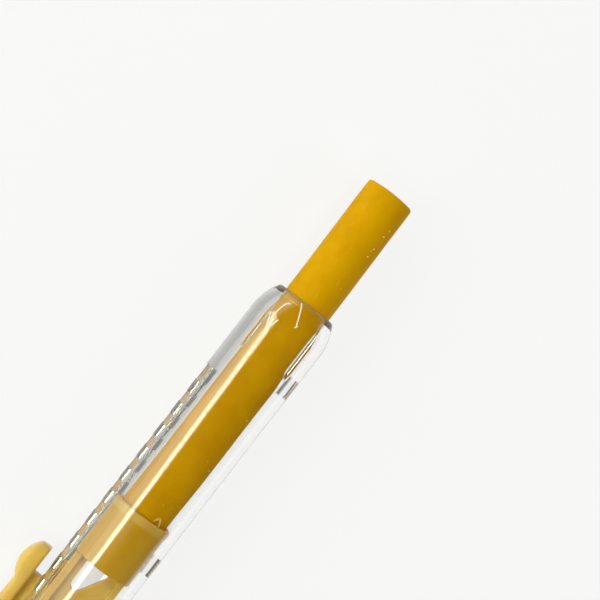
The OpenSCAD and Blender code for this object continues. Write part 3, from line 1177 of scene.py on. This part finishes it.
    def bar(self) -> None:
        """The clip's bar, round at its rear end, with the pad under it."""
        back = self.sizes.behind_mouth(self.neck_front + self.bar_len)
        front = self.sizes.behind_mouth(self.neck_front - self.lobe_reach / 2)
        low, high, round_r = self.sizes.clip_under, self.sizes.clip_under + self.bar_t, self.bar_w / 2
        sections = []
        for k in range(1, self.bar_steps + 1):
            turn = math.pi / 2 * k / self.bar_steps
            x = back + round_r * (1 - math.cos(turn))
            sections.append(self.clip_section(x, round_r * math.sin(turn), low, high))
        loft(self.shape, sections + [self.clip_section(front, round_r, low, high)])
        pad = []
        centre = (back + self.pad_back, self.pad_low + self.pad_r)
        for x, z in arc_points(centre, self.pad_r, *self.pad_arc):
            reach = min(1.0, (x - back) / round_r)
            half = round_r * math.sqrt(max(self.pad_least, 1 - (1 - reach) ** 2)) - self.pad_inset
            pad.append(self.clip_section(x, half, z, low + self.bar_t / 2))
        loft(self.shape, pad)

    def lobe(self) -> None:
        """The thumb lobe: a dome with a nearly upright front."""
        front = self.sizes.behind_mouth(self.neck_front - self.lobe_reach)
        low, dome_r = self.sizes.clip_under, self.lobe_dome_r
        dome_z = low + self.lobe_h - dome_r
        half = math.sqrt(dome_r ** 2 - (low + self.lobe_h / 2 - dome_z) ** 2)
        half_len, sections = (2 * half + self.lobe_foot) / 2, []
        for k in range(self.lobe_steps + 1):
            turn = math.pi * (self.lobe_start + (1 - self.lobe_start) * k / self.lobe_steps)
            x = front - half_len + half_len * math.cos(turn)
            high = dome_z + math.sqrt(max(0.0, dome_r ** 2 - (x - (front - half)) ** 2))
            share = abs((x - (front - half_len)) / half_len)
            width = self.lobe_w / 2 * max(0.0, 1 - share ** self.lobe_fullness) ** (1 / self.lobe_fullness)
            sections.append(self.clip_section(
                x, max(width, self.lobe_least_half), low, max(high, low + self.lobe_least_h)))
        loft(self.shape, list(reversed(sections)))

    def build(self, bench: Bench, material: Finish) -> None:
        """Makes the slide's piece.

        Args:
            bench: Where it is laid down.
            material: Its finish.
        """
        for form in (self.sleeve, self.disc, self.web, self.neck, self.bar, self.lobe):
            form()
        bench.piece("thumb_slide", self.shape, material, Body.SLIDE, Slot.PLASTIC, ["slide"], self.melt)


@dataclass(kw_only=True)
class TailPlug(MouldedPart):
    """The plug in the tail: flange, hollow spigot, slot key and snap lug."""

    flange_round: float = 1.2
    flange_steps: int = 8
    flange_t: float = 0.6
    flange_gap: float = 0.02
    spigot_len: float = 8.0
    spigot_chamfer: float = 0.4
    spigot_wall: float = 1.3
    plug_gap: float = 0.05
    key_w: float = 1.9
    key_overlap: float = 0.5
    key_inset: float = 0.06
    lug_w: float = 1.1
    lug_inset: float = 0.3
    lug_back: float = 4.6
    lug_front: float = 7.1

    def build(self, bench: Bench, material: Finish) -> None:
        """Makes the plug's piece.

        Args:
            bench: Where it is laid down.
            material: Its finish.
        """
        full, flange = self.sizes.barrel_r, self.sizes.flange
        outer = self.sizes.bore_r - self.plug_gap
        inner, root = outer - self.spigot_wall, outer - self.spigot_wall / 2
        front, floor = flange + self.spigot_len, flange + self.flange_t
        centre, face = (self.flange_round, full - self.flange_round), flange - self.flange_gap
        edge = arc_points(centre, self.flange_round, 180, 90, self.flange_steps)
        lathe(self.shape, [(0, 0)] + edge + [
            (face, full), (face, outer), (front - self.spigot_chamfer, outer),
            (front, outer - self.spigot_chamfer), (front, inner), (floor, inner), (floor, 0)])
        block(self.shape, (flange - self.key_overlap, -self.key_w / 2, root),
              (front, self.key_w / 2, full - self.key_inset))
        lug_low, back, ahead = self.lug_inset - full, flange + self.lug_back, flange + self.lug_front
        slab(self.shape, [(back, -root), (back, lug_low), ((back + ahead) / 2, lug_low),
                          (ahead, -self.sizes.bore_r), (ahead, -root)], self.lug_w)
        bench.piece("tail_plug_moulding", self.shape, material, Body.BARREL, Slot.PLASTIC,
                    ["tail_plug"], self.melt)


@dataclass
class Refill:
    """The eraser: a rod with a worn tip, and the crumbs that cling to it.

    A crumb's spot is its distance ahead of the mouth, its angle from the slot
    towards the side that faces the camera, and its size.
    """

    sizes: StickSizes
    tip_round: float = 0.3
    heel_round: float = 0.2
    ring_step: float = 0.4
    sides: int = 120
    wear_depth: float = 0.09
    worn_len: float = 1.2
    ripple: float = 0.012
    sag: float = 0.135
    sag_start: float = -33.5
    sag_len: float = 8.0
    rise_start: float = -2.0
    rise_len: float = 22.0
    rise_share: float = 1.3
    crumb_spots: tuple[tuple[float, float, float], ...] = (
        (12.6, 134, 0.17), (13.6, 138, 0.12), (13.3, 143, 0.09), (10.6, 133, 0.15),
        (10.2, 130, 0.08), (9.4, 132, 0.12), (4.1, 128, 0.06), (-16.3, 140, 0.14),
        (-23.3, 124, 0.09), (-24.2, 143, 0.12), (-28.8, 134, 0.10), (-30.9, 108, 0.08),
        (-3.2, 137, 0.07), (-11.6, 151, 0.11), (8.2, 262, 0.12), (14.9, 312, 0.1))
    crumb_sunk: float = 0.35
    curl_spot: Point = (-33.3, 111)
    curl_deg: float = 200
    curl_lean_deg: float = 13
    curl_low: float = 0.16
    curl_rise: float = 0.3
    curl_flat: float = 0.4
    curl_steps: int = 14
    curl_sides: int = 10
    curl_r: float = 0.75
    curl_t: float = 0.15
    seed: int = 7

    def rod(self) -> Form:
        """The rod as a closed grid of rings with slightly uneven faces.

        Returns:
            The upright shape.
        """
        heel, tip, radius = self.sizes.eraser_heel, self.sizes.eraser_tip, self.sizes.eraser_r
        body = int((tip - heel - self.tip_round - self.heel_round) / self.ring_step)
        low, high = heel + self.heel_round, tip - self.tip_round
        profile = [(heel, 0)] + [(heel, radius * k / 6) for k in range(1, 6)]
        profile += arc_points((low, radius - self.heel_round), self.heel_round, 180, 90, 5)
        profile += [(low + (high - low) * k / body, radius) for k in range(1, body)]
        profile += arc_points((high, radius - self.tip_round), self.tip_round, 90, 0, 8)
        profile += [(tip, radius * k / 10) for k in range(8, 0, -1)] + [(tip, 0)]
        shape = bmesh.new()
        lathe(shape, profile, self.sides)
        for vert in shape.verts:
            self.wear(vert)
            vert.co.z -= self.bow(vert.co.x)
        return shape

    def bow(self, x: float) -> float:
        """How far the rod sags away from the slot's side at a place along X.

        Args:
            x: Place along the stick.

        Returns:
            The sag, which stays within the play that the mouth leaves.
        """
        ahead = x - self.sizes.mouth
        sunk = smooth_step((ahead - self.sag_start) / self.sag_len)
        return self.sag * (sunk - self.rise_share * smooth_step((ahead - self.rise_start) / self.rise_len))

    def wear(self, vert: bmesh.types.BMVert) -> None:
        """Moves one point of the rod inwards, most of all at the tip's edge.

        Args:
            vert: The point.
        """
        spot, tip, radius = vert.co.copy(), self.sizes.eraser_tip, self.sizes.eraser_r
        near_tip = max(0.0, 1 - (tip - spot.x) / self.worn_len)
        out = Vector((0, spot.y, spot.z))
        rim = min(1.0, out.length / radius)
        dent = noise.noise(spot * 0.9) * 0.5 + noise.noise(spot * 2.6) * 0.3
        wear = self.wear_depth * near_tip * max(0.0, 0.35 + dent)
        ripple = self.ripple * (0.5 + 0.5 * noise.noise(Vector((spot.x * 0.35, spot.y * 0.8, spot.z * 0.8))))
        if out.length > 1e-6:
            vert.co -= out.normalized() * (wear * rim + ripple * rim)
        vert.co.x -= wear * (1 - 0.4 * rim) * near_tip

    def crumb(self, shape: Form, at: Vector, size: float, rng: random.Random) -> None:
        """Adds one crumb: a small lump of uneven, stretched form.

        Args:
            shape: Where it is added.
            at: Its middle.
            size: Its rough radius.
            rng: Source of its form.
        """
        stretch = Vector((rng.uniform(0.9, 1.9), rng.uniform(0.6, 1.1), rng.uniform(0.5, 0.8)))
        turn = Matrix.Rotation(rng.uniform(0, math.pi), 3, "X") @ Matrix.Rotation(
            rng.uniform(0, math.pi), 3, "Z")
        shift = Vector((rng.uniform(-9, 9), rng.uniform(-9, 9), 0))
        for vert in bmesh.ops.create_icosphere(shape, subdivisions=3, radius=1.0)["verts"]:
            lump = 1 + 0.45 * noise.noise(vert.co * 1.7 + shift)
            vert.co = at + turn @ Vector(a * b for a, b in zip(vert.co * lump, stretch)) * size

    def on_rod(self, ahead: float, angle: float, lift: float) -> Vector:
        """A place on the rod's skin.

        Args:
            ahead: Distance ahead of the mouth.
            angle: Turn from the slot towards the side that faces the camera.
            lift: Height over the skin.

        Returns:
            The place in the upright position.
        """
        radius, turn = self.sizes.eraser_r + lift, math.radians(angle)
        x = self.sizes.mouth + ahead
        return Vector((x, -radius * math.sin(turn), radius * math.cos(turn) - self.bow(x)))

    def curl(self) -> list[list[Vector]]:
        """A short rolled shaving that leans on the sleeve's lip.

        Returns:
            Its cross-sections.
        """
        rings = []
        for k in range(self.curl_steps + 1):
            share = k / self.curl_steps
            bend = math.radians(self.curl_deg * share)
            centre = self.on_rod(self.curl_spot[0] + self.curl_r * math.sin(bend),
                                 self.curl_spot[1] + self.curl_lean_deg * share,
                                 self.curl_low + self.curl_rise * math.sin(bend * 0.5))
            thick = self.curl_t * math.sin(math.pi * min(0.96, max(0.06, share))) ** 0.5
            turns = [2 * math.pi * n / self.curl_sides for n in range(self.curl_sides)]
            rings.append([centre + Vector((
                math.cos(a) * thick, self.curl_flat * math.sin(a) * thick, math.sin(a) * thick))
                for a in turns])
        return rings

    def crumbs(self) -> Form:
        """The crumbs on the rod and the curl in front of the sleeve.

        Returns:
            The upright shape.
        """
        rng = random.Random(self.seed)
        shape = bmesh.new()
        for ahead, angle, size in self.crumb_spots:
            self.crumb(shape, self.on_rod(ahead, angle, size * self.crumb_sunk), size, rng)
        loft(shape, self.curl())
        return shape

    def build(self, bench: Bench, vinyl: Finish, crumb: Finish) -> None:
        """Makes the rod and its crumbs."""
        bench.piece("eraser_rod", self.rod(), vinyl, Body.REFILL, Slot.ERASER, ["eraser"])
        bench.piece("eraser_crumbs", self.crumbs(), crumb, Body.REFILL, Slot.ERASER)


@dataclass
class PhotoView:
    """The photograph's view of the stick."""

    sizes: StickSizes
    distance: float = 226.0
    across_deg: float = 19.2
    axis_deg: float = 52.2
    slot_turn_deg: float = 88.0
    rear_lean_deg: float = 1.4
    aim_up: float = 0.98
    aim_ahead: float = -0.1
    clip: Point = (0.01, 10.0)

    def directions(self) -> tuple[Vector, Vector, Vector]:
        """Unit vectors in the lying frame.

        Returns:
            The stick's axis, the way to the camera and the way that points
            to the slot's side of the picture, square to both.
        """
        turn = math.radians(self.sizes.lying_deg - self.slot_turn_deg)
        lean = math.radians(self.rear_lean_deg)
        square = Vector((0, math.sin(turn), math.cos(turn)))
        to_camera = (square * math.cos(lean) - Vector((1, 0, 0)) * math.sin(lean)).normalized()
        axis = (Vector((1, 0, 0)) - to_camera * to_camera.x).normalized()
        return axis, to_camera, to_camera.cross(axis)

    def build(self) -> None:
        """Makes the camera."""
        axis, to_camera, up = self.directions()
        turn = math.radians(self.axis_deg)
        right = axis * math.cos(turn) - up * math.sin(turn)
        above = axis * math.sin(turn) + up * math.cos(turn)
        aim = Vector((self.sizes.mouth + self.aim_ahead, 0, 0)) + up * self.aim_up
        data = bpy.data.cameras.new("photo_camera")
        data.lens = data.sensor_width / 2 / math.tan(math.radians(self.across_deg / 2))
        data.clip_start, data.clip_end = self.clip
        camera = new_object("photo_camera", data)
        place = (aim + to_camera * self.distance) * MM
        facing = Matrix((right, above, to_camera)).transposed().to_4x4()
        camera.matrix_world = Matrix.Translation(place) @ facing
        bpy.context.scene.camera = camera


@dataclass(frozen=True)
class SoftLamp:
    """A soft rectangular lamp that looks at the stick's mouth.

    Its place is side_deg from straight above towards the clip's side, from
    there ahead_deg towards the eraser's tip, and distance away in metres. Its
    size is its length along the stick and its width, in metres. One that isn't
    seen lights the stick, but is neither mirrored nor seen through plastic.
    """

    name: str
    side_deg: float
    ahead_deg: float
    distance: float
    size: Point
    radiance: float
    colour: Colour
    roll_deg: float = 0.0
    seen: bool = True

    def build(self, mouth: float) -> None:
        """Makes the lamp.

        Args:
            mouth: Place of the barrel's mouth along the stick.
        """
        data = bpy.data.lights.new(self.name, "AREA")
        data.shape = "RECTANGLE"
        data.size, data.size_y = self.size
        data.color = self.colour
        data.energy = self.radiance * math.pi * self.size[0] * self.size[1]
        lamp = new_object(self.name, data)
        side, ahead = math.radians(self.side_deg), math.radians(self.ahead_deg)
        way = Vector((math.sin(ahead), math.sin(side) * math.cos(ahead), math.cos(side) * math.cos(ahead)))
        along = Vector((
            math.cos(ahead), -math.sin(side) * math.sin(ahead), -math.cos(side) * math.sin(ahead)))
        facing = Matrix((along, way.cross(along), way)).transposed()
        facing = facing @ Matrix.Rotation(math.radians(self.roll_deg), 3, "Z")
        lamp.location = Vector((mouth * MM, 0, 0)) + way * self.distance
        lamp.rotation_euler = facing.to_euler()
        lamp.visible_glossy = lamp.visible_transmission = self.seen


@dataclass
class Studio:
    """A pale table and room, a bright window with its curtain, and soft lamps.

    A window step is a strip's width and radiance. A soft lamp has its two
    angles and its radiance. The curtain's turn is how far it stands beside the
    window and its own angle ahead. The painted shade's places are in millimetres.
    """

    sizes: StickSizes
    floor_half: float = 1.2
    floor_tone: Colour = (1.0, 1.0, 0.985)
    tone_share: float = 0.82
    # painted shade beside the stick, seen only through the plastic
    shade_beside: float = 0.62
    shade_from: Point = (-1.0, 6.0)
    shade_to: Point = (14.0, 30.0)
    floor_colour: Colour = (0.86, 0.865, 0.86)
    room: Colour = (0.98, 0.99, 1.0)
    ceiling: Colour = (0.008, 0.008, 0.008)
    low_glow: float = 0.12
    high_glow: float = 0.45
    key_deg: float = 62.5
    window_ahead_deg: float = -7.5
    window_roll_deg: float = 53.0
    window_distance: float = 0.5
    window_gap: float = 0.005
    window_len: float = 0.6
    window_colour: Colour = (0.92, 1.0, 0.82)
    window_steps: tuple[Point, ...] = ((0.022, 4.9), (0.045, 3.8), (0.075, 2.2))
    curtain_turn: Point = (14.0, -5.0)
    curtain_distance: float = 0.54
    curtain_size: Point = (0.8, 0.17)
    curtain_radiance: float = 1.2
    soft_distance: float = 0.8
    soft_size: Point = (0.3, 0.3)
    soft_colour: Colour = (1.0, 1.0, 0.99)
    soft_lamps: tuple[tuple[float, float, float], ...] = (
        (58.0, 22.0, 4.1), (66.0, -24.0, 4.1), (10.0, 25.0, 3.4), (0.0, -25.0, 3.4), (-52.0, 5.0, 4.4))

    def floor(self) -> None:
        """The table: mostly its own pale tone to the eye, with a soft real shadow, and a strip of painted
        shade beside the stick that rays through the plastic see.
        """
        material, tree = new_material("pale_table")
        seen, mirrored, through = (
            tree.node("LightPath", output=f"Is {ray} Ray") for ray in ("Camera", "Glossy", "Transmission"))
        across = tree.part(tree.node("TexCoord", output="Object"), "Y") * PER_METRE
        # painted shade: a strip beside the stick, darker only for rays through the plastic
        beside = tree.band(across, *self.shade_from) * (1 - tree.band(across, *self.shade_to))
        painted_shade_tone = tuple(part * (1 - self.shade_beside) for part in self.floor_tone)
        tone = tree.node("Emission", {"Color": tree.blend(beside * through, self.floor_tone, painted_shade_tone)})
        plain = tree.node("BsdfDiffuse", {"Color": rgba(self.floor_colour)})
        tree.surface(tree.cover((seen | mirrored | through) * self.tone_share, plain, tone))
        shape = bmesh.new()
        bmesh.ops.create_grid(shape, x_segments=4, y_segments=4, size=self.floor_half)
        table = new_object("table", new_mesh("table", shape, material))
        table.location = (self.sizes.mouth / 2 * MM, 0, -self.sizes.barrel_r * MM)
        table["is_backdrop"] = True

    def walls(self) -> None:
        """The room round the table, as an even pale light under a dark ceiling."""
        world = bpy.data.worlds.new("pale_room")
        bpy.context.scene.world = world
        world.use_nodes = True
        tree = Shader(world.node_tree)
        height = tree.part(tree.node("TexCoord", output="Generated"), "Z")
        dim = tree.band(height, self.low_glow, self.high_glow)
        light = tree.node("Background", {"Color": tree.blend(dim, self.room, self.ceiling)})
        tree.node("OutputWorld", {"Surface": light})

    def lamps(self) -> list[SoftLamp]:
        """The window's strips, one before the other, its curtain and the soft lamps.

        Returns:
            All lamps.
        """
        made = [
            SoftLamp(f"window_{k}", self.key_deg, self.window_ahead_deg,
                     self.window_distance + self.window_gap * k, (self.window_len, width), radiance,
                     self.window_colour, self.window_roll_deg)
            for k, (width, radiance) in enumerate(self.window_steps)]
        beside, ahead = self.curtain_turn
        made.append(SoftLamp("curtain", self.key_deg + beside, ahead, self.curtain_distance,
                             self.curtain_size, self.curtain_radiance, self.window_colour,
                             self.window_roll_deg))
        return made + [
            SoftLamp(f"soft_{k}", side, ahead, self.soft_distance, self.soft_size, radiance,
                     self.soft_colour, seen=False)
            for k, (side, ahead, radiance) in enumerate(self.soft_lamps)]

    def build(self) -> None:
        """Makes the floor, the room and the lamps."""
        self.floor()
        self.walls()
        for lamp in self.lamps():
            lamp.build(self.sizes.mouth)
        bpy.context.scene.view_settings.view_transform = "Standard"


def dress_tongue(material: Finish) -> None:
    """Gives the CAD node of the click tongue its finish and soft edges.

    Args:
        material: Its finish.
    """
    tongue = frame["nodes"]["click_tongue"]
    tongue.data.materials.clear()
    tongue.data.materials.append(material)
    bevel_edges(tongue, 0.05 * MM, 2, 30.0)
    LOG.info("click_tongue: finished in place")


def write_sizes() -> None:
    """Works out the CAD model's box and the dressed model's box as plain lists."""
    boxes = {"cad": cad_box, "visual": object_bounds()}
    plain = {name: [list(corner) for corner in box] for name, box in boxes.items()}


def main() -> None:
    """Builds the stick, its camera and its studio in order."""
    logging.basicConfig(level=logging.INFO, format="%(name)s: %(message)s")
    sizes = StickSizes.from_frame()
    bench = Bench(sizes.lying_deg)
    barrel, slide = ClearBarrel(sizes), ThumbSlide(sizes=sizes)
    frosted = FrostedPlastic(sizes.lying_deg, sizes.eraser_heel - 1.2, slide.lip_back).material()
    PhotoView(sizes).build()
    Studio(sizes).build()
    barrel.build(bench, ClearPlastic(barrel).material())
    slide.build(bench, frosted)
    TailPlug(sizes=sizes).build(bench, frosted)
    dress_tongue(frosted)
    Refill(sizes).build(bench, EraserVinyl(sizes.lying_deg).material(), CrumbVinyl().material())
    write_sizes()


if __name__ == "__main__":
    main()
